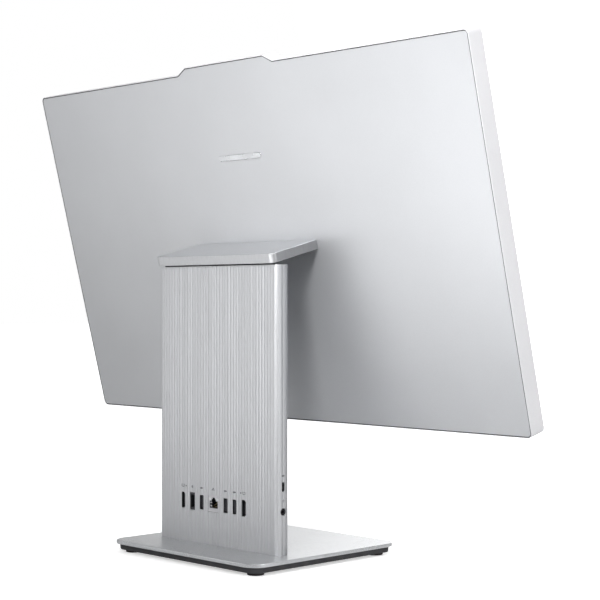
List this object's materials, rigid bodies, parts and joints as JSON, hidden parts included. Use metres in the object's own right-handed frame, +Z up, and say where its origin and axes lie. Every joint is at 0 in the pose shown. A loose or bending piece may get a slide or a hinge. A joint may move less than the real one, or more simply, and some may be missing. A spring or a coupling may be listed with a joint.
{
  "type": "all-in-one desktop computer",
  "caption": "Slim wide desktop computer in one screen, tilting on a grooved slab column with rear ports and a flat square base.",
  "frame": {"origin": "on the desk under the middle of the base plate", "axes": "+Z up, the screen faces -Y, the ports face +Y, +X is to the right seen from the front; the head is at the tilt of the picture, 14.33 degrees back"},
  "size_m": [0.612, 0.192, 0.4866],
  "materials": {
    "base_silver": "satin silver paint",
    "shell_silver": "fine satin silver",
    "column_silver": "satin, fine vertical grain",
    "frame_white": "smooth pale silver",
    "dark_plastic": "fine grain",
    "bezel_black": "smooth",
    "foot_rubber": "matte",
    "cast_weight": "rough",
    "bracket_steel": "zinc plated sheet",
    "screw_steel": "turned",
    "socket_black": "moulded",
    "socket_metal": "nickel plated",
    "circuit_board": "solder mask",
    "chip_black": "moulded",
    "copper": "flattened pipe",
    "panel_aluminium": "mill",
    "diffuser_white": "translucent sheet",
    "screen_glass": "anti-glare",
    "lens_glass": "coated",
    "shutter_red": "moulded",
    "button_silver": "satin",
    "cable_black": "flat ribbon",
    "badge_chrome": "polished"
  },
  "bodies": {
    "stand": {"base_plate": "base_silver", "base_tray": "dark_plastic", "base_weight": "cast_weight", "base_feet": "foot_rubber", "base_screws": "screw_steel", "column_foot": "bracket_steel", "column_spine": "bracket_steel", "column_rear_cover": "column_silver", "column_front_cover": "column_silver", "column_top_plate": "dark_plastic", "column_screws": "screw_steel", "io_board": "circuit_board", "hdmi_out_socket": "socket_black", "hdmi_in_socket": "socket_black", "usb_a_socket_1": "socket_black", "usb_a_socket_2": "socket_black", "usb_a_socket_3": "socket_black", "ethernet_socket": "socket_metal", "dc_inlet": "socket_black", "usb_c_socket": "socket_metal", "audio_jack": "socket_black", "column_cable": "cable_black", "hinge_bracket_left": "bracket_steel", "hinge_bracket_right": "bracket_steel", "friction_washers": "screw_steel"},
    "head": {"hinge_pins": "screw_steel", "hinge_arm_left": "bracket_steel", "hinge_arm_right": "bracket_steel", "hinge_cap": "column_silver", "hinge_cap_base": "dark_plastic", "back_cover": "shell_silver", "side_frame": "frame_white", "front_bezel": "bezel_black", "chin_strip": "shell_silver", "display_glass": "screen_glass", "backlight": "diffuser_white", "panel_tray": "panel_aluminium", "chassis_plate": "bracket_steel", "mainboard": "circuit_board", "processor": "chip_black", "heat_pipes": "copper", "fin_stack": "panel_aluminium", "fan_housing": "dark_plastic", "memory_modules": "circuit_board", "solid_state_drive": "circuit_board", "wireless_card": "circuit_board", "coin_cell": "socket_metal", "speaker_left": "dark_plastic", "speaker_right": "dark_plastic", "camera_module": "circuit_board", "camera_lens": "lens_glass", "button_board": "circuit_board", "head_cable": "cable_black", "badge": "badge_chrome", "head_screws": "screw_steel"},
    "fan": {"fan_impeller": "dark_plastic"},
    "shutter": {"privacy_shutter": "shutter_red"},
    "power_key": {"power_button": "button_silver"},
    "source_key": {"source_button": "button_silver"}
  },
  "joints": [
    {"name": "head_tilt", "type": "hinge", "parent": "stand", "child": "head", "pos_m": [0, 0.04135, 0.2693], "axis": [-1, 0, 0], "range_deg": [-19.33, 0.67]},
    {"name": "fan_spin", "type": "hinge", "parent": "head", "child": "fan", "pos_m": [0.126, -0.03823, 0.18848], "axis": [0, 0.9689, -0.2475], "continuous": true},
    {"name": "shutter_slide", "type": "slide", "parent": "head", "child": "shutter", "axis": [1, 0, 0], "range_m": [0, 0.008]},
    {"name": "power_press", "type": "slide", "parent": "head", "child": "power_key", "axis": [0, 0.2475, 0.9689], "range_m": [0, 0.0006], "stiffness_N_per_m": 900, "springref_m": -0.0004},
    {"name": "source_press", "type": "slide", "parent": "head", "child": "source_key", "axis": [0, 0.2475, 0.9689], "range_m": [0, 0.0006], "stiffness_N_per_m": 900, "springref_m": -0.0004}
  ]
}
